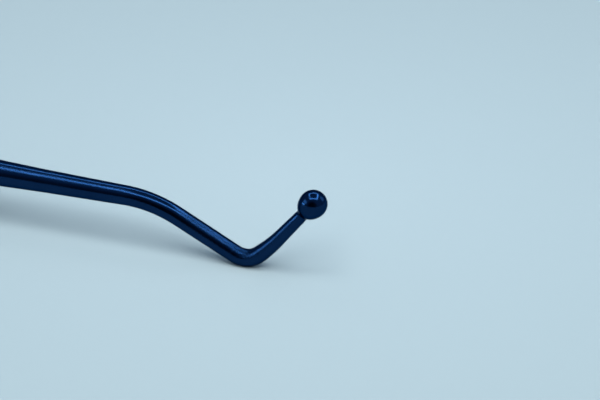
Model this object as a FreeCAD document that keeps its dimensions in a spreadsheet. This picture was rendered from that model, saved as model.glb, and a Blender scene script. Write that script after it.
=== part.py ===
"""Double-ended dental hand instrument: a ball end and a graduated probe end on one handle.

The handle lies along X with its centre at the origin, and +Z is up. Each working end screws out
of a cone socket in the handle's nose, the ball end at +X and the probe end at -X. Both working
ends dip until their lowest bend hangs just above the plane that the handle's barrel rests on.
"""

import FreeCAD
import Part

import math
import os
import re

import Sketcher

Vector = FreeCAD.Vector
Placement = FreeCAD.Placement
Rotation = FreeCAD.Rotation

# Driving dimensions, in millimetres and degrees. A radius is from the axis the piece turns about.
DIMENSIONS = {
    # handle tube, measured from its middle
    "tube_half": 37.5,
    "tube_bore": 3.5,
    "barrel_half": 14.0,
    "barrel_radius": 5.0,
    "barrel_step": 0.55,
    "grip_radius": 4.45,
    "seam_chamfer": 0.12,
    # silicone rings in the handle's grooves
    "ring_count": 6,
    "ring_margin": 3.5,
    "ring_pitch": 3.4,
    "ring_width": 2.0,
    "ring_seat": 4.05,
    "ring_shoulder": 4.55,
    "ring_crown": 0.2,
    # nose that closes each end of the tube
    "nose_length": 10.0,
    "nose_mouth": 2.3,
    "nose_curve": 14.0,
    "spigot_length": 6.0,
    "spigot_lead": 0.3,
    "code_start": 1.1,
    "code_land": 0.8,
    "code_seat": 3.95,
    # cone seat and thread of the socket
    "seat_mouth": 1.75,
    "seat_foot": 1.35,
    "seat_depth": 3.0,
    "thread_major": 1.25,
    "thread_minor": 0.97,
    "thread_pitch": 0.45,
    "thread_foot": 0.36,
    "thread_crest": 0.07,
    "thread_gap": 0.05,
    "thread_depth": 6.2,
    # stud, seal and collar of each working end
    "stud_thread": 4.6,
    "stud_lead": 0.3,
    "stud_neck": 0.1,
    "seat_gap": 0.03,
    "seal_thickness": 0.4,
    "seal_gap": 0.08,
    "collar_radius": 2.2,
    "collar_length": 1.5,
    "collar_chamfer": 0.12,
    "collar_flats": 3.7,
    # shank, the same on both ends as far as its first bend
    "flare_start": 1.8,
    "flare_length": 4.4,
    "flare_radius": 20.0,
    "shank_start": 1.19,
    "taper_length": 4.0,
    "taper_end": 1.065,
    "shank_length": 8.05,
    "shank_end": 0.92,
    "bend_radius": 11.5,
    "bend_angle": 26.5,
    "rest_gap": 0.02,
    # ball end beyond the first bend
    "ball_run_start": 0.855,
    "ball_run_end": 0.833,
    "ball_elbow": 2.15,
    "ball_elbow_angle": 67.9,
    "ball_elbow_thickness": 0.816,
    "ball_elbow_end": 0.79,
    "ball_sweep": 17.6,
    "ball_sweep_angle": 9.6,
    "ball_sweep_end": 0.65,
    "ball_last_run": 5.07,
    "ball_neck": 0.575,
    "ball_neck_round": 0.6,
    "ball_back": 1.95,
    "ball_radius": 1.29,
    # probe end beyond the first bend
    "probe_run_start": 0.8,
    "probe_run_end": 0.64,
    "probe_elbow": 2.4,
    "probe_elbow_angle": 106.5,
    "probe_elbow_thickness": 0.6,
    "tip_start": 0.48,
    "tip_end": 0.25,
    "tip_length": 15.0,
    "mark_step": 3.0,
    "mark_depth": 0.08,
}

doc = FreeCAD.newDocument("dental_instrument")
sizes = doc.addObject("Spreadsheet::Sheet", "sizes")
for row, (alias, value) in enumerate(DIMENSIONS.items(), start=1):
    sizes.set(f"A{row}", alias)
    sizes.set(f"B{row}", str(value))
    sizes.setAlias(f"B{row}", alias)
doc.recompute()

# Stations along the handle's axis, each worked out from the one before.
MOUTH = "tube_half + nose_length"
SEAT = f"{MOUTH} - seat_depth"
STUD_TIP = f"{SEAT} - stud_thread"
COLLAR = f"{MOUTH} + seal_thickness"
FLARE = f"{COLLAR} + collar_length"
SHANK = f"{FLARE} + flare_length"

subparts = []


def bound(expression):
    """The expression with each dimension's name pointing into the sheet."""
    return re.sub(r"[a-z]+(_[a-z]+)+", lambda name: f"sizes.{name.group()}", expression)


def number(expression):
    """The value of an expression of dimensions, such as "tube_half - ring_margin"."""
    return float(sizes.evalExpression(expression))


def keep(thing, label, place=None):
    """Label a finished sub-part, put it in its place and list it among the parts to write."""
    thing.Label = label
    if place is not None:
        thing.Placement = place
    subparts.append(thing)


# --- pieces turned about X ---------------------------------------------------------------------


def arc_between(start, end, radius, outward):
    """The shorter arc from start to end, which bulges away from the X axis if outward. Returned
    with the numbers of its first and last points, because an arc always runs anticlockwise."""
    chord = end - start
    across = Vector(-chord.y, chord.x, 0).normalize()
    if (across.y > 0) == outward:
        across = across * -1
    centre = (start + end) * 0.5 + across * math.sqrt(radius**2 - chord.Length**2 / 4)
    first, last = (math.atan2(p.y - centre.y, p.x - centre.x) for p in (start, end))
    circle = Part.Circle(centre, Vector(0, 0, 1), radius)
    if (last - first) % (2 * math.pi) < math.pi:
        return Part.ArcOfCircle(circle, first, last), 1, 2
    return Part.ArcOfCircle(circle, last, first), 2, 1


def hold(sketch, kind, edge, point, expression):
    """Hold a sketch point's DistanceX or DistanceY from the origin at an expression."""
    value = number(expression)
    if abs(value) < 1e-9:
        axis = -2 if kind == "DistanceX" else -1
        sketch.addConstraint(Sketcher.Constraint("PointOnObject", edge, point, axis))
        return
    index = sketch.addConstraint(Sketcher.Constraint(kind, edge, point, value))
    sketch.setExpression(f"Constraints[{index}]", bound(expression))


def hold_radius(sketch, edge, expression):
    """Hold an arc's radius at an expression."""
    index = sketch.addConstraint(Sketcher.Constraint("Radius", edge, number(expression)))
    sketch.setExpression(f"Constraints[{index}]", bound(expression))


def draw_outline(sketch, corners):
    """A closed outline of (x, radius) corners. A corner with two more entries, an arc's radius
    and "out" or "in", is reached by an arc that bulges away from the axis or towards it."""
    spots = [Vector(number(corner[0]), number(corner[1]), 0) for corner in corners]
    edges = []
    for i, (corner, spot) in enumerate(zip(corners, spots)):
        if len(corner) > 2:
            outward = corner[3] == "out"
            shape, first, last = arc_between(spots[i - 1], spot, number(corner[2]), outward)
        else:
            shape, first, last = Part.LineSegment(spots[i - 1], spot), 1, 2
        edges.append((sketch.addGeometry(shape, False), first, last))
    for i, (edge, _, last) in enumerate(edges):
        after, start, _ = edges[(i + 1) % len(edges)]
        sketch.addConstraint(Sketcher.Constraint("Coincident", edge, last, after, start))
        hold(sketch, "DistanceX", edge, last, corners[i][0])
        hold(sketch, "DistanceY", edge, last, corners[i][1])
        if len(corners[i]) > 2:
            hold_radius(sketch, edge, corners[i][2])


def outline_sketch(body, name, corners):
    """An outline on the body's own XZ plane, with X along the sketch's horizontal axis."""
    planes = {feature.Role: feature for feature in body.Origin.OriginFeatures}
    sketch = body.newObject("Sketcher::SketchObject", name)
    sketch.AttachmentSupport = (planes["XZ_Plane"], [""])
    sketch.MapMode = "FlatFace"
    draw_outline(sketch, corners)
    return sketch


def turned(name, corners):
    """A body turned about X from an outline."""
    body = doc.addObject("PartDesign::Body", name)
    sketch = outline_sketch(body, f"{name}_outline", corners)
    turn = body.newObject("PartDesign::Revolution", f"{name}_turn")
    turn.Profile = sketch
    turn.ReferenceAxis = (sketch, ["H_Axis"])
    turn.Angle = 360
    body.Tip = turn
    doc.recompute()
    return body


# --- threads and bent rods ---------------------------------------------------------------------


# The thread starts some pitches before the stud's tip and stops some before the socket's mouth.
PITCHES_BEFORE = 4
PITCHES_SHORT = 3
THREAD_START = f"{STUD_TIP} - {PITCHES_BEFORE} * thread_pitch"
RIDGE_SUNK = 0.06


def threaded_rod(side):
    """A rod with a right-hand thread from THREAD_START to just short of the mouth, plain beyond.
    side is -1 for a stud, half the thread gap inside the nominal form, and +1 for a tap, which
    is half the gap outside it. The ridge's section reaches RIDGE_SUNK into the core, so that its
    flanks cross the core's surface and never just touch it."""
    pitch = number("thread_pitch")
    gap = side * number("thread_gap") / 2
    minor = number("thread_minor") + gap
    major = number("thread_major") + gap
    foot = pitch * number("thread_foot") + gap
    crest = pitch * number("thread_crest") + gap / 2
    start = number(THREAD_START)
    length = number(MOUTH) - PITCHES_SHORT * pitch - start
    wide = foot + (foot - crest) / (major - minor) * RIDGE_SUNK
    section = [
        Vector(minor - RIDGE_SUNK, 0, -wide),
        Vector(major, 0, -crest),
        Vector(major, 0, crest),
        Vector(minor - RIDGE_SUNK, 0, wide),
    ]
    helix = Part.Wire(Part.makeHelix(pitch, length, minor).Edges)
    ridge = helix.makePipeShell([Part.makePolygon(section + section[:1])], True, True)
    margin = 2 * pitch
    core = Part.makeCylinder(minor, length + 2 * margin, Vector(0, 0, -margin))
    rod = core.fuse(ridge)
    rod.rotate(Vector(0, 0, 0), Vector(0, 1, 0), 90)
    rod.translate(Vector(start, 0, 0))
    return rod


def tap(name):
    """What the socket's thread takes out of the nose."""
    feature = doc.addObject("Part::Feature", name)
    feature.Shape = threaded_rod(1)
    return feature


def threaded_stud(name):
    """The stud, cut from a threaded rod, with a tapered lead."""
    start = Vector(number(STUD_TIP), 0, 0)
    lead = number("stud_lead")
    length = number(f"{SEAT} + stud_neck") - start.x
    inner = number("thread_minor") - lead / 2
    outer = number("thread_major")
    blank = Part.makeCone(inner, outer, lead, start, heading(0))
    rest = Part.makeCylinder(outer, length - lead, start + heading(0) * lead, heading(0))
    feature = doc.addObject("Part::Feature", name)
    feature.Shape = threaded_rod(-1).common(blank.fuse(rest))
    return feature


def heading(degrees):
    """The direction in the XZ plane at an angle above X."""
    angle = math.radians(degrees)
    return Vector(math.cos(angle), 0, math.sin(angle))


def swept_bend(start, angle, turn, radius, thick_start, thick_end):
    """A tapered bend in the XZ plane and where it ends."""
    side = math.copysign(1, turn)
    centre = start + heading(angle + 90) * radius * side
    middle = centre - heading(angle + turn / 2 + 90) * radius * side
    end = centre - heading(angle + turn + 90) * radius * side
    spine = Part.Wire(Part.Arc(start, middle, end).toShape())
    rings = [
        Part.Wire(Part.makeCircle(thick_start, start, heading(angle))),
        Part.Wire(Part.makeCircle(thick_end, end, heading(angle + turn))),
    ]
    return spine.makePipeShell(rings, True, True), end


def bent_rod(name, start, thickness, stretches):
    """A tapered rod in the XZ plane that sets off along X. A stretch is (length, end radius) for
    a straight run, or (bend radius, turn, end radius). Returned with its end and heading."""
    spot = start
    angle = 0.0
    pieces = []
    for stretch in stretches:
        after = stretch[-1]
        if len(stretch) == 2:
            pieces.append(Part.makeCone(thickness, after, stretch[0], spot, heading(angle)))
            spot = spot + heading(angle) * stretch[0]
        else:
            piece, spot = swept_bend(spot, angle, stretch[1], stretch[0], thickness, after)
            pieces.append(piece)
            angle += stretch[1]
        thickness = after
    feature = doc.addObject("Part::Feature", name)
    feature.Shape = pieces[0].multiFuse(pieces[1:])
    return feature, spot, angle


def run_to_rest(elbow, thickness):
    """The straight run between the bends that brings the elbow down to just above the rest
    plane."""
    slope = math.radians(number("bend_angle"))
    drop = number("barrel_radius - rest_gap") - thickness
    arcs = (number("bend_radius") + elbow) * (1 - math.cos(slope))
    return (drop - arcs) / math.sin(slope)


def along(start, angle, side):
    """The placement that lays a turned piece's X along a heading, on one end of the handle."""
    here = Placement(start, Rotation(Vector(0, -1, 0), angle))
    return side.multiply(here)


# --- handle ------------------------------------------------------------------------------------


def handle_tube():
    """The hollow handle: a plain barrel in the middle and a grooved grip on each side of it."""
    body = turned(
        "handle_tube",
        [
            ("-tube_half", "tube_bore"),
            ("-tube_half", "grip_radius - seam_chamfer"),
            ("-tube_half + seam_chamfer", "grip_radius"),
            ("-barrel_half - barrel_step", "grip_radius"),
            ("-barrel_half", "barrel_radius"),
            ("barrel_half", "barrel_radius"),
            ("barrel_half + barrel_step", "grip_radius"),
            ("tube_half - seam_chamfer", "grip_radius"),
            ("tube_half", "grip_radius - seam_chamfer"),
            ("tube_half", "tube_bore"),
        ],
    )
    outer = "tube_half - ring_margin + ring_width / 2"
    inner = "tube_half - ring_margin - ring_width / 2"
    sketch = outline_sketch(
        body,
        "groove_outline",
        [
            (outer, "ring_seat"),
            (outer, "barrel_radius"),
            (inner, "barrel_radius"),
            (inner, "ring_seat"),
        ],
    )
    groove = body.newObject("PartDesign::Groove", "groove")
    groove.Profile = sketch
    groove.ReferenceAxis = (sketch, ["H_Axis"])
    groove.Angle = 360
    doc.recompute()
    grooves = body.newObject("PartDesign::MultiTransform", "grooves")
    row = body.newObject("PartDesign::LinearPattern", "groove_row")
    row.setExpression("Length", bound("(ring_count - 1) * ring_pitch"))
    row.setExpression("Occurrences", bound("ring_count"))
    sides = body.newObject("PartDesign::LinearPattern", "groove_sides")
    sides.setExpression(
        "Length", bound("2 * (tube_half - ring_margin) - (ring_count - 1) * ring_pitch")
    )
    sides.Occurrences = 2
    for pattern in (row, sides):
        pattern.Direction = (sketch, ["H_Axis"])
        pattern.Reversed = True
    grooves.Originals = [groove]
    grooves.Transformations = [row, sides]
    body.Tip = grooves
    keep(body, "handle_tube")


def ring(name, start, width, seat, shoulder):
    """A silicone ring with a crowned outside, stretched over a groove's floor."""
    end = f"{start} + {width}"
    crown = f"(({width} / 2)^2 + ring_crown^2) / (2 * ring_crown)"
    return turned(
        name,
        [(start, seat), (start, shoulder), (end, shoulder, crown, "out"), (end, seat)],
    )


def grip_rings(side_name, side):
    """The rings on one side of the handle, counted from the nose."""
    for index in range(int(number("ring_count"))):
        start = f"tube_half - ring_margin - ring_width / 2 - {index} * ring_pitch"
        name = f"grip_ring_{side_name}_{index + 1}"
        keep(ring(name, start, "ring_width", "ring_seat", "ring_shoulder"), name, side)


def code_ring(side_name, side):
    """The coloured ring on the nose."""
    name = f"code_ring_{side_name}"
    start = "tube_half + code_start"
    keep(ring(name, start, "ring_width", "code_seat", "ring_shoulder"), name, side)


def nose(side_name, side):
    """The tapered nose, whose spigot fills the tube's end, with its cone seat and thread."""
    name = f"nose_{side_name}"
    code_end = "tube_half + code_start + ring_width"
    blank = turned(
        f"{name}_blank",
        [
            ("tube_half - spigot_length", "seat_foot"),
            ("tube_half - spigot_length", "tube_bore - spigot_lead"),
            ("tube_half - spigot_length + spigot_lead", "tube_bore"),
            ("tube_half", "tube_bore"),
            ("tube_half", "grip_radius - seam_chamfer"),
            ("tube_half + seam_chamfer", "grip_radius"),
            ("tube_half + code_start", "grip_radius"),
            ("tube_half + code_start", "code_seat"),
            (code_end, "code_seat"),
            (code_end, "grip_radius"),
            (f"{code_end} + code_land", "grip_radius"),
            (f"{MOUTH} - seam_chamfer", "nose_mouth", "nose_curve", "out"),
            (MOUTH, "nose_mouth - seam_chamfer"),
            (MOUTH, "seat_mouth"),
            (SEAT, "seat_foot"),
            (SEAT, "0"),
            (f"{SEAT} - thread_depth", "0"),
            (f"{SEAT} - thread_depth", "seat_foot"),
        ],
    )
    cut = doc.addObject("Part::Cut", f"{name}_cut")
    cut.Base = blank
    cut.Tool = tap(f"{name}_thread")
    keep(cut, name, side)


# --- working ends ------------------------------------------------------------------------------


def seal_ring(side_name, side):
    """The soft washer that the collar squeezes against the nose."""
    name = f"seal_ring_{side_name}"
    inner = "seat_mouth + seal_gap"
    body = turned(
        name,
        [
            (MOUTH, inner),
            (MOUTH, "nose_mouth - seam_chamfer"),
            (COLLAR, "nose_mouth - seam_chamfer"),
            (COLLAR, inner),
        ],
    )
    keep(body, name, side)


def root(name):
    """The turned root of a working end: cone, collar and flare."""
    return turned(
        f"{name}_root",
        [
            (f"{SEAT} + stud_neck", "0"),
            (f"{SEAT} + stud_neck", "seat_foot - seat_gap"),
            (MOUTH, "seat_mouth - seat_gap"),
            (COLLAR, "seat_mouth - seat_gap"),
            (COLLAR, "collar_radius - collar_chamfer"),
            (f"{COLLAR} + collar_chamfer", "collar_radius"),
            (f"{FLARE} - collar_chamfer", "collar_radius"),
            (FLARE, "collar_radius - collar_chamfer"),
            (FLARE, "flare_start"),
            (SHANK, "shank_start", "flare_radius", "in"),
            (SHANK, "0"),
        ],
    )


def spanner_flats(name):
    """What two flats for a spanner take off the collar."""
    flats = []
    for edge, where in (("near", "-collar_radius - collar_flats / 2"), ("far", "collar_flats / 2")):
        box = doc.addObject("Part::Box", f"{name}_flat_{edge}")
        box.setExpression("Length", bound("collar_length"))
        box.setExpression("Width", bound("collar_radius"))
        box.setExpression("Height", bound("2 * collar_radius"))
        box.setExpression("Placement.Base.x", bound(COLLAR))
        box.setExpression("Placement.Base.y", bound(where))
        box.setExpression("Placement.Base.z", bound("-collar_radius"))
        flats.append(box)
    return flats


def working_end(name, pieces, side):
    """Fuse a working end's pieces into one, and cut the spanner flats in its collar."""
    whole = doc.addObject("Part::MultiFuse", f"{name}_whole")
    whole.Shapes = [threaded_stud(f"{name}_stud"), root(name)] + pieces
    flats = doc.addObject("Part::MultiFuse", f"{name}_flats")
    flats.Shapes = spanner_flats(name)
    cut = doc.addObject("Part::Cut", f"{name}_cut")
    cut.Base = whole
    cut.Tool = flats
    keep(cut, name, side)


def shank():
    """Where the bent shank begins, and its two straight stretches before the first bend."""
    start = Vector(number(SHANK), 0, 0)
    taper = (number("taper_length"), number("taper_end"))
    straight = (number("shank_length"), number("shank_end"))
    return start, [taper, straight]


def ball_head():
    """The last run of the ball end: neck, fillet and ball, with the ball drawn out backwards."""
    rise = "(ball_neck + ball_neck_round - ball_radius + ball_back)"
    reach = f"sqrt((ball_back + ball_neck_round)^2 - {rise}^2)"
    share = "ball_back / (ball_back + ball_neck_round)"
    return turned(
        "ball_head",
        [
            ("0", "0"),
            ("0", "ball_sweep_end"),
            (f"ball_last_run - {reach}", "ball_neck"),
            (
                f"ball_last_run - {reach} * {share}",
                f"ball_radius - ball_back + {rise} * {share}",
                "ball_neck_round",
                "in",
            ),
            ("ball_last_run", "ball_radius", "ball_back", "out"),
            ("ball_last_run + ball_radius", "0", "ball_radius", "out"),
        ],
    )


def ball_end(side):
    """The working end with the ball."""
    start, straights = shank()
    elbow = number("ball_elbow")
    run = run_to_rest(elbow, number("ball_elbow_thickness"))
    stretches = straights + [
        (number("bend_radius"), -number("bend_angle"), number("ball_run_start")),
        (run, number("ball_run_end")),
        (elbow, number("ball_elbow_angle"), number("ball_elbow_end")),
        (number("ball_sweep"), number("ball_sweep_angle"), number("ball_sweep_end")),
    ]
    rod, end, angle = bent_rod("ball_rod", start, number("shank_start"), stretches)
    head = ball_head()
    head.Placement = along(end, angle, Placement())
    working_end("ball_end", [rod, head], side)


def tip_radius(distance):
    """The probe tip's radius at an expression of the distance from its root."""
    return f"(tip_start - (tip_start - tip_end) * ({distance}) / tip_length)"


def probe_tip():
    """The tapered tip, with a shallow recess for each depth mark and a rounded end."""
    corners = [("0", "0"), ("0", "tip_start")]
    for step in (1, 3):
        for distance in (f"{step} * mark_step", f"{step + 1} * mark_step"):
            edge = [(distance, tip_radius(distance))]
            floor = [(distance, f"{tip_radius(distance)} - mark_depth")]
            corners += edge + floor if distance == f"{step} * mark_step" else floor + edge
    corners.append(("tip_length - tip_end", "tip_end"))
    corners.append(("tip_length", "0", "tip_end", "out"))
    return turned("probe_tip", corners)


def depth_mark(name, step, place):
    """A band of enamel that fills one recess of the probe tip flush."""
    start = f"{step} * mark_step"
    end = f"{step + 1} * mark_step"
    body = turned(
        name,
        [
            (start, f"{tip_radius(start)} - mark_depth"),
            (start, tip_radius(start)),
            (end, tip_radius(end)),
            (end, f"{tip_radius(end)} - mark_depth"),
        ],
    )
    keep(body, name, place)


def probe_end(side):
    """The working end with the graduated tip, and its depth marks."""
    start, straights = shank()
    elbow = number("probe_elbow")
    run = run_to_rest(elbow, number("probe_elbow_thickness"))
    stretches = straights + [
        (number("bend_radius"), -number("bend_angle"), number("probe_run_start")),
        (run, number("probe_run_end")),
        (elbow, number("probe_elbow_angle"), number("tip_start")),
    ]
    rod, end, angle = bent_rod("probe_rod", start, number("shank_start"), stretches)
    tip = probe_tip()
    tip.Placement = along(end, angle, Placement())
    working_end("probe_end", [rod, tip], side)
    place = along(end, angle, side)
    depth_mark("depth_mark_low", 1, place)
    depth_mark("depth_mark_high", 3, place)


# --- the whole instrument ----------------------------------------------------------------------

SIDES = {
    "ball": Placement(),
    "probe": Placement(Vector(0, 0, 0), Rotation(Vector(0, 0, 1), 180)),
}

handle_tube()
for side_name, side in SIDES.items():
    nose(side_name, side)
    code_ring(side_name, side)
    grip_rings(side_name, side)
    seal_ring(side_name, side)
ball_end(SIDES["ball"])
probe_end(SIDES["probe"])
doc.recompute()

for thing in doc.Objects:
    if "Invalid" in thing.State or "Error" in thing.State:
        raise RuntimeError(f"{thing.Label} failed: {thing.State}")

os.makedirs("parts", exist_ok=True)
for thing in subparts:
    shape = thing.Shape
    if shape.isNull() or not shape.isValid() or len(shape.Solids) != 1:
        raise RuntimeError(f"{thing.Label} isn't one valid solid")
    shape.exportStep(f"parts/{thing.Label}.step")
    box = shape.BoundBox
    print(f"{thing.Label}: {shape.Volume:.2f} mm3, z {box.ZMin:.3f} to {box.ZMax:.3f}")
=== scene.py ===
import math

import bpy
from mathutils import Matrix, Vector


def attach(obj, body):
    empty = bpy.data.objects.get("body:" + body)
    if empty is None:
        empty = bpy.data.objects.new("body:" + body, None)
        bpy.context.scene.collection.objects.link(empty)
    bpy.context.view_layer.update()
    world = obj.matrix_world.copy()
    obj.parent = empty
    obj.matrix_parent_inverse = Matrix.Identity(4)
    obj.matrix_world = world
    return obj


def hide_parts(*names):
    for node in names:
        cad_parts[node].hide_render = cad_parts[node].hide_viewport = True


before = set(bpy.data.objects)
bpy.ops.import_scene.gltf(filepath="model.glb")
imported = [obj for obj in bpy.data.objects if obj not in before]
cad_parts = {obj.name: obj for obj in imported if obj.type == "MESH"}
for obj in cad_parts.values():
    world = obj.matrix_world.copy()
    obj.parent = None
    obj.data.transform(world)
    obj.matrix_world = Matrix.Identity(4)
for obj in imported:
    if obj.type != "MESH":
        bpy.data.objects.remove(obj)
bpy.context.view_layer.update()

MM = 0.001
TAU = 2 * math.pi
UP = Vector((0, 0, 1))
ACROSS = Vector((0, 1, 0))

# --- sizes in millimetres, the same as the CAD model's -------------------------------------------

# handle: distances from its middle
TUBE_HALF = 37.5
TUBE_BORE = 3.5
BARREL_HALF = 14.0
BARREL_RADIUS = 5.0
BARREL_STEP = 0.55
GRIP_RADIUS = 4.45
SEAM = 0.12

# silicone rings
RING_COUNT = 6
RING_MARGIN = 3.5
RING_PITCH = 3.4
RING_WIDTH = 2.0
RING_SEAT = 4.05
RING_SHOULDER = 4.55
RING_CROWN = 0.2
RING_EDGE = 0.12
GROOVE_EDGE = 0.05

# nose and its socket
CODE_START = TUBE_HALF + 1.1
CODE_END = CODE_START + RING_WIDTH
CODE_LAND = 0.8
CODE_SEAT = 3.95
MOUTH = TUBE_HALF + 10.0
NOSE_MOUTH = 2.3
NOSE_CURVE = 14.0
SPIGOT_START = TUBE_HALF - 6.0
SPIGOT_LEAD = 0.3
SEAT = MOUTH - 3.0
SEAT_MOUTH = 1.75
SEAT_FOOT = 1.35
SOCKET_FOOT = SEAT - 6.2

# thread
STUD_TIP = SEAT - 4.6
STUD_END = SEAT + 0.1
STUD_LEAD = 0.3
THREAD_MAJOR = 1.25
THREAD_MINOR = 0.97
THREAD_PITCH = 0.45
THREAD_BASE = 0.36 * THREAD_PITCH
THREAD_CREST = 0.07 * THREAD_PITCH
THREAD_SLACK = 0.025
THREAD_START = STUD_TIP - 4 * THREAD_PITCH
THREAD_STEP = THREAD_PITCH / 16

# seal, collar and shank of a working end
SEAT_GAP = 0.03
SEAL_BORE = SEAT_MOUTH + 0.08
SEAL_GAP = 0.005                    # between seal and collar, which turn against each other
COLLAR = MOUTH + 0.4
COLLAR_RADIUS = 2.2
COLLAR_FLAT = 1.85
FLARE = COLLAR + 1.5
FLARE_START = 1.8
FLARE_CURVE = 20.0
TAPER = FLARE + 4.4
TAPER_START = 1.19
SHANK = TAPER + 4.0
SHANK_START = 1.065
BEND = SHANK + 8.05
BEND_START = 0.92
BEND_RADIUS = 11.5
BEND_ANGLE = math.radians(26.5)
RUN_START = BEND + BEND_RADIUS * BEND_ANGLE
REST_GAP = 0.02

# ball end
BALL_RUN_START = 0.855
BALL_RUN_END = 0.833
BALL_ELBOW = 2.15
BALL_ELBOW_ANGLE = math.radians(67.9)
BALL_ELBOW_THICKNESS = 0.816
BALL_ELBOW_END = 0.79
BALL_SWEEP = 17.6
BALL_SWEEP_ANGLE = math.radians(9.6)
BALL_SWEEP_END = 0.65
BALL_LAST_RUN = 5.07
BALL_NECK = 0.575
BALL_NECK_ROUND = 0.6
BALL_BACK = 1.95
BALL_RADIUS = 1.29

# probe end
PROBE_RUN_START = 0.8
PROBE_RUN_END = 0.64
PROBE_ELBOW = 2.4
PROBE_ELBOW_ANGLE = math.radians(106.5)
PROBE_ELBOW_THICKNESS = 0.6
TIP_START = 0.48
TIP_END = 0.25
TIP_LENGTH = 15.0
MARK_STEP = 3.0
MARK_DEPTH = 0.08
MARKS = {"low": 1, "high": 3}       # the steps of the tip before each depth mark

# --- camera, floor and light ---------------------------------------------------------------------

CAMERA_AZIMUTH = math.radians(21.04)
CAMERA_ELEVATION = math.radians(27)
CAMERA_DISTANCE = 0.350
CAMERA_TARGET = Vector((0.08281, 0, 0.00261))
CAMERA_REACH = (0.01, 100)          # the nearest and the farthest that it sees
SENSOR_WIDTH = 36.0
LENS = 236.0

TO_RIGHT = Vector((math.cos(CAMERA_AZIMUTH), math.sin(CAMERA_AZIMUTH), 0))
TO_BACK = Vector((-math.sin(CAMERA_AZIMUTH), math.cos(CAMERA_AZIMUTH), 0))

# Overhead lamps, all at one height, with their edges in shares of that height. Four strips make the
# frame that the metal mirrors, and two keys light the floor.
LAMP_HEIGHT = 1.1
LAMP_COLOUR = (0.96, 0.99, 1.0)
LAMPS = {
    "lamp_front": dict(left=-0.50, right=0.64, front=-0.42, back=-0.29, radiance=11.0),
    "lamp_left": dict(left=-0.50, right=-0.43, front=-0.29, back=0.64, radiance=13.0),
    "lamp_right": dict(left=0.47, right=0.64, front=-0.29, back=0.64, radiance=11.0),
    "lamp_back": dict(left=-0.50, right=0.64, front=0.64, back=0.76, radiance=11.0),
    "key_back": dict(left=-0.42, right=0.56, front=-0.62, back=-0.04, radiance=5.4),
    "key_front": dict(left=-0.42, right=0.56, front=-1.22, back=-0.62, radiance=7.2),
}

# Upright panels that the metal mirrors. Each one's side is its direction to the right and back, and
# its foot is the height of its lower edge over the camera's target.
PANELS = {
    "panel_low": dict(
        side=(-0.99, -0.06), distance=0.45, foot=-0.003, width=0.18, height=0.06, radiance=9.0
    ),
    "panel_left": dict(
        side=(-0.98, -0.18), distance=0.70, foot=0.16, width=0.42, height=0.28, radiance=2.6
    ),
    "panel_right": dict(
        side=(0.96, 0.28), distance=0.70, foot=0.18, width=0.35, height=0.45, radiance=1.4
    ),
}

# The room is dark round one direction, up to the inner angle, and fades to its colour at the outer.
ROOM_COLOUR = (0.22, 0.33, 0.45)
DARK_COLOUR = (0.03, 0.035, 0.045)
DARK_DIRECTION = (TO_RIGHT * -0.20 - TO_BACK * 0.97 + UP * 0.16).normalized()
DARK_INNER = math.radians(24)
DARK_OUTER = math.radians(46)

FLOOR_SIZE = 40.0
# Painted light on the floor: its colour is pale round a spot near the ball end and darker further
# out, a painted pool of light in place of the lamps' falloff.
FLOOR_PALE = (0.432, 0.524, 0.550)
FLOOR_PAINTED_SHADE = (0.380, 0.463, 0.482)
FLOOR_LIGHT_POOL_CENTRE = CAMERA_TARGET + TO_BACK * 0.020
FLOOR_LIGHT_FALLOFF = 0.05                   # the distance over which the painted light falloff darkens the paper


def link(name, data):
    """A new object in the scene."""
    made = bpy.data.objects.new(name, data)
    bpy.context.scene.collection.objects.link(made)
    return made


def add_camera():
    """A long lens that looks down on the ball end, with its colours shown as they are."""
    data = bpy.data.cameras.new("camera")
    data.sensor_width = SENSOR_WIDTH
    data.lens = LENS
    data.clip_start, data.clip_end = CAMERA_REACH
    camera = link("camera", data)
    back = -TO_BACK * math.cos(CAMERA_ELEVATION) + UP * math.sin(CAMERA_ELEVATION)
    camera.location = CAMERA_TARGET + back * CAMERA_DISTANCE
    camera.rotation_euler = (-back).to_track_quat("-Z", "Y").to_euler()
    bpy.context.scene.camera = camera
    bpy.context.scene.view_settings.view_transform = "Standard"


def add_lamp(name, size, radiance, location, rotation):
    """A rectangular lamp that the camera doesn't see. A key lights matt surfaces and is never
    mirrored, and any other lamp is only mirrored."""
    data = bpy.data.lights.new(name, "AREA")
    data.shape = "RECTANGLE"
    data.size, data.size_y = size
    data.energy = radiance * math.pi * data.size * data.size_y
    data.color = LAMP_COLOUR
    lamp = link(name, data)
    lamp.location = location
    lamp.rotation_euler = rotation
    lamp.visible_camera = False
    lamp.visible_diffuse = name.startswith("key")
    lamp.visible_glossy = not lamp.visible_diffuse


def add_overhead(name, left, right, front, back, radiance):
    """A level lamp over the object, in line with the camera."""
    size = ((right - left) * LAMP_HEIGHT, (back - front) * LAMP_HEIGHT)
    middle = TO_RIGHT * (left + right) / 2 + TO_BACK * (front + back) / 2 + UP
    add_lamp(name, size, radiance, CAMERA_TARGET + middle * LAMP_HEIGHT, (0, 0, CAMERA_AZIMUTH))


def add_panel(name, side, distance, foot, width, height, radiance):
    """An upright lamp beside the object, which faces it."""
    out = (TO_RIGHT * side[0] + TO_BACK * side[1]).normalized()
    place = CAMERA_TARGET + out * distance + UP * (foot + height / 2)
    add_lamp(name, (width, height), radiance, place, out.to_track_quat("Z", "Y").to_euler())


def add_lamps():
    """A frame of four strips over the object, two keys that light the floor, and three panels."""
    for name, lamp in LAMPS.items():
        add_overhead(name, **lamp)
    for name, panel in PANELS.items():
        add_panel(name, **panel)


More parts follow.
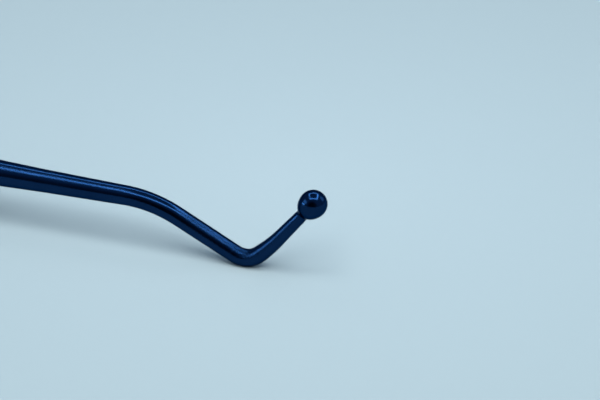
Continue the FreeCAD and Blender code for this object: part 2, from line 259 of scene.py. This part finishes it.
def add_world():
    """A dim room that is darker low down in front of the object, where the camera stands."""
    world = bpy.data.worlds.new("room")
    bpy.context.scene.world = world
    world.use_nodes = True
    nodes, links = world.node_tree.nodes, world.node_tree.links
    nodes.clear()
    place = nodes.new("ShaderNodeTexCoord")
    nearness = nodes.new("ShaderNodeVectorMath")
    nearness.operation = "DOT_PRODUCT"
    nearness.inputs[1].default_value = DARK_DIRECTION
    ramp = nodes.new("ShaderNodeValToRGB")
    sky = nodes.new("ShaderNodeBackground")
    out = nodes.new("ShaderNodeOutputWorld")
    links.new(place.outputs["Generated"], nearness.inputs[0])
    links.new(nearness.outputs["Value"], ramp.inputs["Fac"])
    links.new(ramp.outputs["Color"], sky.inputs["Color"])
    links.new(sky.outputs[0], out.inputs["Surface"])
    ramp.color_ramp.elements[0].position = math.cos(DARK_OUTER)
    ramp.color_ramp.elements[0].color = (*ROOM_COLOUR, 1)
    ramp.color_ramp.elements[1].position = math.cos(DARK_INNER)
    ramp.color_ramp.elements[1].color = (*DARK_COLOUR, 1)


# --- materials -----------------------------------------------------------------------------------


class Shader:
    """A material with a Principled shader, and short calls for the nodes that feed it."""

    def __init__(self, name, **sockets):
        self.material = bpy.data.materials.new(name)
        self.material.use_nodes = True
        self.nodes = self.material.node_tree.nodes
        self.links = self.material.node_tree.links
        self.surface = self.nodes["Principled BSDF"]
        for socket, value in sockets.items():
            self.surface.inputs[socket.replace("_", " ")].default_value = value
        self.place = self.nodes.new("ShaderNodeTexCoord").outputs["Object"]

    def lie(self, along, around):
        """Coordinates that follow a swept piece: millimetres along it, and two that go round it,
        each times a scale."""
        own = self.nodes.new("ShaderNodeAttribute")
        own.attribute_name = "lie"
        node = self.nodes.new("ShaderNodeMapping")
        node.inputs["Scale"].default_value = (along, around, around)
        self.links.new(own.outputs["Vector"], node.inputs["Vector"])
        return node.outputs[0]

    def along(self):
        """Millimetres along a swept piece."""
        node = self.nodes.new("ShaderNodeSeparateXYZ")
        self.links.new(self.lie(1, 1), node.inputs[0])
        return node.outputs["X"]

    def reach(self, spot):
        """Metres from a spot in the object's own space."""
        node = self.nodes.new("ShaderNodeVectorMath")
        node.operation = "DISTANCE"
        node.inputs[1].default_value = spot
        self.links.new(self.place, node.inputs[0])
        return node.outputs["Value"]

    def times(self, first, second):
        """The product of two values."""
        node = self.nodes.new("ShaderNodeMath")
        node.operation = "MULTIPLY"
        self.links.new(first, node.inputs[0])
        self.links.new(second, node.inputs[1])
        return node.outputs[0]

    def noise(self, vector, detail, scale=1.0, rough=0.55):
        """Noise from 0 to 1."""
        node = self.nodes.new("ShaderNodeTexNoise")
        node.inputs["Scale"].default_value = scale
        node.inputs["Detail"].default_value = detail
        node.inputs["Roughness"].default_value = rough
        self.links.new(vector, node.inputs["Vector"])
        return node.outputs["Fac"]

    def spread(self, value, low, high, to_low, to_high):
        """A value mapped from one range to another, and clamped to it."""
        node = self.nodes.new("ShaderNodeMapRange")
        for socket, number in zip(
            ("From Min", "From Max", "To Min", "To Max"), (low, high, to_low, to_high)
        ):
            node.inputs[socket].default_value = number
        self.links.new(value, node.inputs["Value"])
        return node.outputs["Result"]

    def blend(self, factor, first, second):
        """A colour between two colours."""
        node = self.nodes.new("ShaderNodeMix")
        node.data_type = "RGBA"
        self.links.new(factor, node.inputs["Factor"])
        colours = [socket for socket in node.inputs if socket.type == "RGBA"]
        for socket, colour in zip(colours, (first, second)):
            socket.default_value = (*colour, 1)
        return next(socket for socket in node.outputs if socket.type == "RGBA")

    def bump(self, height, distance, strength):
        """Adds a bump, in metres, over the bumps so far."""
        node = self.nodes.new("ShaderNodeBump")
        node.inputs["Distance"].default_value = distance
        node.inputs["Strength"].default_value = strength
        self.links.new(height, node.inputs["Height"])
        before = self.surface.inputs["Normal"].links
        if before:
            self.links.new(before[0].from_socket, node.inputs["Normal"])
        self.links.new(node.outputs[0], self.surface.inputs["Normal"])

    def feed(self, socket, output):
        """Feeds a socket of the surface."""
        self.links.new(output, self.surface.inputs[socket])


def floor_paper():
    """Pale blue-white paper, painted lighter near the ball end and darker away from it, a painted
    pool of light.
    """
    shader = Shader("floor_paper", Roughness=0.75)
    # painted light: the base colour goes from pale to darker with the distance from the pool's
    # centre
    fade = shader.spread(shader.reach(FLOOR_LIGHT_POOL_CENTRE), 0, FLOOR_LIGHT_FALLOFF, 0, 1)
    shader.feed("Base Color", shader.blend(fade, FLOOR_PALE, FLOOR_PAINTED_SHADE))
    grain = shader.noise(shader.place, scale=300, detail=5)
    shader.bump(grain, distance=0.2 * MM, strength=0.15)
    return shader.material


# Stretches over which the finish of a working end changes, in millimetres along it from the
# handle's middle. It turns rougher and rippled round the end of the first bend, and smooth again
# towards the tip. ROUGHER and SMOOTHER multiply its roughness, and CALM is the share of the ripples
# that is left before and after.
ROUGH_START = (69.5, 72.5)
ROUGH_END = (84.5, 87.0)
RIPPLE_START = (70.5, 72.5)
RIPPLE_END = (84.5, 86.5)
ROUGHER = 1.2
SMOOTHER = 0.7
CALM = 0.1


def blue_steel():
    """Steel under a hard dark blue coating. It is finely ground along its length, rippled across
    it beyond the first bend, and polished at the tip."""
    shader = Shader("blue_steel", Metallic=1.0, Specular_Tint=(0.45, 0.47, 0.50, 1))
    cloud = shader.spread(shader.noise(shader.place, scale=400, detail=3), 0.3, 0.7, 0, 1)
    shader.feed("Base Color", shader.blend(cloud, (0.0042, 0.020, 0.064), (0.0062, 0.025, 0.076)))
    streak = shader.noise(shader.lie(along=0.4, around=9), detail=5, rough=0.7)
    rough = shader.spread(streak, 0.25, 0.75, 0.13, 0.21)
    for stretch, factor in ((ROUGH_START, ROUGHER), (ROUGH_END, SMOOTHER)):
        rough = shader.times(rough, shader.spread(shader.along(), *stretch, 1, factor))
    shader.feed("Roughness", rough)
    ripple = shader.noise(shader.lie(along=6, around=0.6), detail=3, rough=0.7)
    for stretch, before, after in ((RIPPLE_START, CALM, 1), (RIPPLE_END, 1, CALM)):
        ripple = shader.times(ripple, shader.spread(shader.along(), *stretch, before, after))
    shader.bump(ripple, distance=0.05 * MM, strength=0.8)
    shader.bump(streak, distance=0.004 * MM, strength=0.5)
    return shader.material


def handle_steel():
    """Satin stainless steel, finely turned round its axis."""
    shader = Shader("handle_steel", Metallic=1.0)
    turned = shader.noise(shader.lie(along=9, around=0.15), detail=4, rough=0.7)
    cloud = shader.noise(shader.place, scale=120, detail=4)
    shader.feed("Base Color", shader.blend(cloud, (0.50, 0.51, 0.53), (0.60, 0.61, 0.63)))
    shader.feed("Roughness", shader.spread(turned, 0.2, 0.8, 0.26, 0.42))
    shader.bump(turned, distance=0.012 * MM, strength=0.6)
    return shader.material


def silicone(name, dark, light, smooth, dusty):
    """Soft silicone, lightly mottled, with a roughness from smooth to dusty."""
    shader = Shader(name, IOR=1.41, Specular_IOR_Level=0.4)
    grain = shader.noise(shader.place, scale=2500, detail=3)
    cloud = shader.noise(shader.place, scale=220, detail=4)
    shader.feed("Base Color", shader.blend(cloud, dark, light))
    shader.feed("Roughness", shader.spread(grain, 0.3, 0.7, smooth, dusty))
    shader.bump(grain, distance=0.01 * MM, strength=0.35)
    return shader.material


def mark_enamel():
    """The pale baked enamel of the depth marks."""
    shader = Shader("mark_enamel", IOR=1.5)
    cloud = shader.noise(shader.place, scale=900, detail=4)
    shader.feed("Base Color", shader.blend(cloud, (0.74, 0.76, 0.74), (0.86, 0.87, 0.84)))
    shader.feed("Roughness", shader.spread(cloud, 0.3, 0.7, 0.22, 0.34))
    shader.bump(cloud, distance=0.008 * MM, strength=0.4)
    return shader.material


# --- pieces swept along a path -------------------------------------------------------------------

STRAIGHT = [(1.0,)]                 # the path of a piece that isn't bent
RUN_STEP = 0.4
ARC_STEP = 0.08
ARC_LEAST = 6                       # pieces that an arc is divided into
ARC_MOST = 40
AROUND = 96                         # vertices in a ring
HANDLE_AROUND = 160
SHARP_ANGLE = math.radians(30)


def arc_points(start, end, radius, outward):
    """Points on the shorter arc after start, up to end. It bulges away from the axis if outward."""
    chord = end - start
    across = Vector((-chord.y, chord.x)).normalized()
    if (across.y > 0) == outward:
        across = -across
    centre = (start + end) / 2 + across * math.sqrt(radius**2 - chord.length_squared / 4)
    first = math.atan2(start.y - centre.y, start.x - centre.x)
    last = math.atan2(end.y - centre.y, end.x - centre.x)
    sweep = (last - first + math.pi) % TAU - math.pi
    count = min(ARC_MOST, max(ARC_LEAST, math.ceil(radius * abs(sweep) / ARC_STEP)))
    for i in range(1, count):
        angle = first + sweep * i / count
        yield centre + Vector((math.cos(angle), math.sin(angle))) * radius
    yield end


def stations(corners):
    """Points along an outline of (distance, radius) corners. A corner may be reached by an arc,
    with the arc's radius and "out" or "in" after it. A straight stretch is divided at RUN_STEP,
    or at a step of its own after its end."""
    points = [Vector(corners[0])]
    for corner in corners[1:]:
        start, end = points[-1], Vector(corner[:2])
        if len(corner) == 4:
            points += arc_points(start, end, corner[2], corner[3] == "out")
            continue
        step = corner[2] if len(corner) == 3 else RUN_STEP
        count = max(1, math.ceil((end - start).length / step))
        points += [start.lerp(end, i / count) for i in range(1, count)] + [end]
    return points


def follow(stretches, distance):
    """Where a path in the XZ plane is after a distance, and its heading. The path sets off along
    X from the origin. A stretch is (length,) for a straight run or (radius, turn) for a bend, and
    the last one has no end."""
    spot, angle = Vector((0, 0, 0)), 0.0
    for stretch in stretches:
        length = stretch[0] if len(stretch) == 1 else stretch[0] * abs(stretch[1])
        part = distance if stretch is stretches[-1] else min(distance, length)
        if len(stretch) == 1:
            spot = spot + Vector((math.cos(angle), 0, math.sin(angle))) * part
        else:
            radius = math.copysign(stretch[0], stretch[1])
            centre = spot + Vector((-math.sin(angle), 0, math.cos(angle))) * radius
            angle += part / radius
            spot = centre - Vector((-math.sin(angle), 0, math.cos(angle))) * radius
        distance -= part
        if distance <= 0:
            break
    return spot, angle


class Skin:
    """Collects the vertices of a piece swept along a path, ring by ring."""

    def __init__(self, path, around):
        self.path = path
        self.around = around
        self.vertices = []
        self.lie = []
        self.rings = []

    def add_ring(self, distance, radius, relief):
        """A ring round the path, or one point where the radius is nothing. The angle is 0 below
        the path, and grows towards +Y."""
        centre, heading = follow(self.path, distance)
        below = Vector((math.sin(heading), 0, -math.cos(heading)))
        ring = []
        for i in range(self.around if radius > 0 else 1):
            theta = TAU * i / self.around
            reach = relief(distance, theta, radius) if relief else radius
            spoke = ACROSS * math.sin(theta) + below * math.cos(theta)
            ring.append(len(self.vertices))
            self.vertices.append((centre + spoke * reach) * MM)
            self.lie.append((distance, math.sin(theta), math.cos(theta)))
        self.rings.append(ring)

    def faces(self, closed):
        """The faces between each ring and the next, and back to the first if closed."""
        pairs = list(zip(self.rings, self.rings[1:]))
        if closed:
            pairs.append((self.rings[-1], self.rings[0]))
        for one, two in pairs:
            for i in range(self.around):
                j = (i + 1) % self.around
                if len(one) == 1:
                    yield one[0], two[i], two[j]
                elif len(two) == 1:
                    yield one[j], one[i], two[0]
                else:
                    yield one[j], one[i], two[i], two[j]


def sweep(name, corners, material, path=STRAIGHT, relief=None, around=AROUND, side="ball"):
    """A piece swept along a path from its outline's corners. An outline that starts on the path
    is a solid of its own, and any other is closed into a ring. relief changes the radius with
    the distance and the angle. The probe's side is the ball's side turned about Z."""
    skin = Skin(path, around)
    for distance, radius in stations(corners):
        skin.add_ring(distance, radius, relief)
    mesh = bpy.data.meshes.new(name)
    mesh.from_pydata(skin.vertices, [], list(skin.faces(closed=corners[0][1] > 0)))
    if side == "probe":
        mesh.transform(Matrix.Rotation(math.pi, 4, "Z"))
    lie = mesh.attributes.new("lie", "FLOAT_VECTOR", "POINT")
    lie.data.foreach_set("vector", [number for point in skin.lie for number in point])
    mesh.shade_smooth()
    mesh.set_sharp_from_angle(angle=SHARP_ANGLE)
    mesh.materials.append(material)
    return link(name, mesh)


def fit(piece, body, node):
    """Puts a piece on its body in place of a CAD node, which it hides."""
    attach(piece, body)
    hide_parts(node)


# --- threads and flats ---------------------------------------------------------------------------


def thread(distance, theta, slack):
    """The radius of a right-hand thread, with slack added to the nominal form."""
    turn = (distance - THREAD_START) / THREAD_PITCH - theta / TAU
    aside = abs(turn - round(turn)) * THREAD_PITCH
    base = THREAD_BASE + slack
    crest = THREAD_CREST + slack / 2
    share = min(1.0, max(0.0, (base - aside) / (base - crest)))
    return THREAD_MINOR + slack + (THREAD_MAJOR - THREAD_MINOR) * share


def working_end_relief(distance, theta, radius):
    """The stud's thread, which its tapered lead cuts off, and the collar's two spanner flats."""
    if distance <= STUD_END and radius < THREAD_MINOR:
        tip = THREAD_MINOR - STUD_LEAD / 2
        lead = tip + (THREAD_MAJOR - tip) * (distance - STUD_TIP) / STUD_LEAD
        return min(lead, thread(distance, theta, -THREAD_SLACK))
    if COLLAR <= distance <= FLARE and radius > FLARE_START:
        return min(radius, COLLAR_FLAT / max(abs(math.sin(theta)), COLLAR_FLAT / radius))
    return radius


def nose_relief(distance, theta, radius):
    """The socket's thread."""
    if distance <= SEAT and radius < THREAD_MAJOR:
        return thread(distance, theta, THREAD_SLACK)
    return radius


# --- handle --------------------------------------------------------------------------------------


def ring_start(index):
    """Where a grip ring's groove starts on the ball's side, counted from the nose."""
    return TUBE_HALF - RING_MARGIN - RING_WIDTH / 2 - index * RING_PITCH


def groove(start):
    """The corners of a groove in the grip, with its rims eased."""
    end = start + RING_WIDTH
    rim = GRIP_RADIUS - GROOVE_EDGE
    return [
        (start - GROOVE_EDGE, GRIP_RADIUS),
        (start, rim),
        (start, RING_SEAT),
        (end, RING_SEAT),
        (end, rim),
        (end + GROOVE_EDGE, GRIP_RADIUS),
    ]


def add_tube(steel):
    """The hollow handle: a plain barrel in the middle and a grooved grip on each side of it."""
    starts = sorted(ring_start(i) for i in range(RING_COUNT))
    corners = [
        (-TUBE_HALF, TUBE_BORE),
        (-TUBE_HALF, GRIP_RADIUS - SEAM),
        (-TUBE_HALF + SEAM, GRIP_RADIUS),
    ]
    for start in reversed(starts):
        corners += groove(-start - RING_WIDTH)
    corners += [
        (-BARREL_HALF - BARREL_STEP, GRIP_RADIUS),
        (-BARREL_HALF, BARREL_RADIUS),
        (BARREL_HALF, BARREL_RADIUS),
        (BARREL_HALF + BARREL_STEP, GRIP_RADIUS),
    ]
    for start in starts:
        corners += groove(start)
    corners += [
        (TUBE_HALF - SEAM, GRIP_RADIUS),
        (TUBE_HALF, GRIP_RADIUS - SEAM),
        (TUBE_HALF, TUBE_BORE),
    ]
    tube = sweep("handle_tube_turned", corners, steel, around=HANDLE_AROUND)
    fit(tube, "handle", "handle_tube")


def add_ring(node, start, seat, material, side):
    """A silicone ring with a crowned outside and eased edges."""
    end = start + RING_WIDTH
    half = RING_WIDTH / 2 - RING_EDGE
    crown = (half**2 + RING_CROWN**2) / (2 * RING_CROWN)
    corners = [
        (start, seat),
        (start, RING_SHOULDER - RING_EDGE),
        (start + RING_EDGE, RING_SHOULDER, RING_EDGE, "out"),
        (end - RING_EDGE, RING_SHOULDER, crown, "out"),
        (end, RING_SHOULDER - RING_EDGE, RING_EDGE, "out"),
        (end, seat),
    ]
    ring = sweep(f"{node}_soft", corners, material, around=HANDLE_AROUND, side=side)
    fit(ring, "handle", node)


def add_nose(side, steel):
    """The tapered nose with its spigot, code ring groove, cone seat and thread."""
    corners = [
        (SPIGOT_START, SEAT_FOOT),
        (SPIGOT_START, TUBE_BORE - SPIGOT_LEAD),
        (SPIGOT_START + SPIGOT_LEAD, TUBE_BORE),
        (TUBE_HALF, TUBE_BORE),
        (TUBE_HALF, GRIP_RADIUS - SEAM),
        (TUBE_HALF + SEAM, GRIP_RADIUS),
        (CODE_START - GROOVE_EDGE, GRIP_RADIUS),
        (CODE_START, GRIP_RADIUS - GROOVE_EDGE),
        (CODE_START, CODE_SEAT),
        (CODE_END, CODE_SEAT),
        (CODE_END, GRIP_RADIUS - GROOVE_EDGE),
        (CODE_END + GROOVE_EDGE, GRIP_RADIUS),
        (CODE_END + CODE_LAND, GRIP_RADIUS),
        (MOUTH - SEAM, NOSE_MOUTH, NOSE_CURVE, "out"),
        (MOUTH, NOSE_MOUTH - SEAM),
        (MOUTH, SEAT_MOUTH),
        (SEAT, SEAT_FOOT),
        (SEAT, THREAD_MINOR),
        (SOCKET_FOOT, THREAD_MINOR, THREAD_STEP),
        (SOCKET_FOOT, SEAT_FOOT),
    ]
    name = f"nose_{side}_turned"
    nose = sweep(name, corners, steel, relief=nose_relief, around=HANDLE_AROUND, side=side)
    fit(nose, "handle", f"nose_{side}")


def add_seal(side, rubber):
    """The soft washer between nose and collar, with eased rims."""
    outer = NOSE_MOUTH - SEAM
    ease = (COLLAR - MOUTH) / 4
    face = COLLAR - SEAL_GAP
    corners = [
        (MOUTH, SEAL_BORE),
        (MOUTH, outer - ease),
        (MOUTH + ease, outer, ease, "out"),
        (face - ease, outer),
        (face, outer - ease, ease, "out"),
        (face, SEAL_BORE),
    ]
    seal = sweep(f"seal_ring_{side}_soft", corners, rubber, side=side)
    fit(seal, f"{side}_seal", f"seal_ring_{side}")


# --- working ends --------------------------------------------------------------------------------


def root_corners():
    """The outline that both working ends share, from the stud's tip to the first bend."""
    core = THREAD_MINOR - THREAD_SLACK
    return [
        (STUD_TIP, 0),
        (STUD_TIP, core),
        (STUD_END, core, THREAD_STEP),
        (STUD_END, SEAT_FOOT - SEAT_GAP),
        (MOUTH, SEAT_MOUTH - SEAT_GAP),
        (COLLAR, SEAT_MOUTH - SEAT_GAP),
        (COLLAR, COLLAR_RADIUS - SEAM),
        (COLLAR + SEAM, COLLAR_RADIUS),
        (FLARE - SEAM, COLLAR_RADIUS),
        (FLARE, COLLAR_RADIUS - SEAM),
        (FLARE, FLARE_START),
        (TAPER, TAPER_START, FLARE_CURVE, "in"),
        (SHANK, SHANK_START),
        (BEND, BEND_START),
    ]


def run_to_rest(elbow, thickness):
    """The straight run after the first bend that brings the elbow down to just above the plane
    that the barrel rests on."""
    drop = BARREL_RADIUS - REST_GAP - thickness
    arcs = (BEND_RADIUS + elbow) * (1 - math.cos(BEND_ANGLE))
    return (drop - arcs) / math.sin(BEND_ANGLE)


def path_to_rest(run, elbow, angle):
    """The path of a working end up to the end of the elbow that rests on the surface."""
    return [(BEND,), (BEND_RADIUS, -BEND_ANGLE), (run,), (elbow, angle)]


def add_ball_end(steel):
    """The working end with the ball, which is drawn out backwards into its neck."""
    run = run_to_rest(BALL_ELBOW, BALL_ELBOW_THICKNESS)
    path = path_to_rest(run, BALL_ELBOW, BALL_ELBOW_ANGLE)
    path += [(BALL_SWEEP, BALL_SWEEP_ANGLE), (BALL_LAST_RUN,)]
    elbow = RUN_START + run
    sweep_start = elbow + BALL_ELBOW * BALL_ELBOW_ANGLE
    last_run = sweep_start + BALL_SWEEP * BALL_SWEEP_ANGLE
    ball = last_run + BALL_LAST_RUN
    rise = BALL_NECK + BALL_NECK_ROUND - BALL_RADIUS + BALL_BACK
    reach = math.sqrt((BALL_BACK + BALL_NECK_ROUND) ** 2 - rise**2)
    share = BALL_BACK / (BALL_BACK + BALL_NECK_ROUND)
    round_end = (ball - reach * share, BALL_RADIUS - BALL_BACK + rise * share)
    corners = root_corners() + [
        (RUN_START, BALL_RUN_START),
        (elbow, BALL_RUN_END),
        (sweep_start, BALL_ELBOW_END, ARC_STEP),
        (last_run, BALL_SWEEP_END),
        (ball - reach, BALL_NECK),
        (*round_end, BALL_NECK_ROUND, "in"),
        (ball, BALL_RADIUS, BALL_BACK, "out"),
        (ball + BALL_RADIUS, 0, BALL_RADIUS, "out"),
    ]
    end = sweep("ball_end_polished", corners, steel, path, working_end_relief)
    fit(end, "ball_end", "ball_end")


def tip_radius(distance):
    """The probe tip's radius at a distance from its root."""
    return TIP_START - (TIP_START - TIP_END) * distance / TIP_LENGTH


def recess_corners(root, step):
    """The corners of a depth mark's recess, from one rim to the other."""
    start, end = step * MARK_STEP, (step + 1) * MARK_STEP
    first, last = tip_radius(start), tip_radius(end)
    return [
        (root + start, first),
        (root + start, first - MARK_DEPTH),
        (root + end, last - MARK_DEPTH),
        (root + end, last),
    ]


def add_probe_end(steel, enamel):
    """The working end with the graduated tip, and the enamel in its two recesses."""
    run = run_to_rest(PROBE_ELBOW, PROBE_ELBOW_THICKNESS)
    path = path_to_rest(run, PROBE_ELBOW, PROBE_ELBOW_ANGLE) + STRAIGHT
    elbow = RUN_START + run
    root = elbow + PROBE_ELBOW * PROBE_ELBOW_ANGLE
    corners = root_corners() + [
        (RUN_START, PROBE_RUN_START),
        (elbow, PROBE_RUN_END),
        (root, TIP_START, ARC_STEP),
    ]
    for name, step in MARKS.items():
        recess = recess_corners(root, step)
        corners += recess
        rim, foot, far_foot, far_rim = recess
        band = [foot, rim, far_rim, far_foot]
        mark = sweep(f"depth_mark_{name}_enamel", band, enamel, path, side="probe")
        fit(mark, "probe_end", f"depth_mark_{name}")
    corners += [
        (root + TIP_LENGTH - TIP_END, TIP_END),
        (root + TIP_LENGTH, 0, TIP_END, "out"),
    ]
    end = sweep("probe_end_polished", corners, steel, path, working_end_relief, side="probe")
    fit(end, "probe_end", "probe_end")


# --- the scene -----------------------------------------------------------------------------------


def add_floor():
    """A large plain floor under the barrel."""
    half = FLOOR_SIZE / 2
    mesh = bpy.data.meshes.new("floor")
    corners = [(-half, -half, 0), (half, -half, 0), (half, half, 0), (-half, half, 0)]
    mesh.from_pydata(corners, [], [(0, 1, 2, 3)])
    mesh.materials.append(floor_paper())
    floor = link("floor", mesh)
    floor.location.z = -BARREL_RADIUS * MM


def add_instrument():
    """Every piece of the instrument."""
    satin = handle_steel()
    blue = blue_steel()
    grip = silicone("grip_silicone", (0.012, 0.035, 0.095), (0.022, 0.055, 0.130), 0.42, 0.56)
    code = silicone("code_silicone", (0.100, 0.330, 0.560), (0.140, 0.400, 0.640), 0.38, 0.52)
    seal = silicone("seal_silicone", (0.020, 0.022, 0.026), (0.035, 0.038, 0.044), 0.49, 0.63)
    add_tube(satin)
    for side in ("ball", "probe"):
        add_nose(side, satin)
        add_seal(side, seal)
        add_ring(f"code_ring_{side}", CODE_START, CODE_SEAT, code, side)
        for i in range(RING_COUNT):
            node = f"grip_ring_{side}_{i + 1}"
            add_ring(node, ring_start(i), RING_SEAT, grip, side)
    add_ball_end(blue)
    add_probe_end(blue, mark_enamel())


add_camera()
add_floor()
add_lamps()
add_world()
add_instrument()
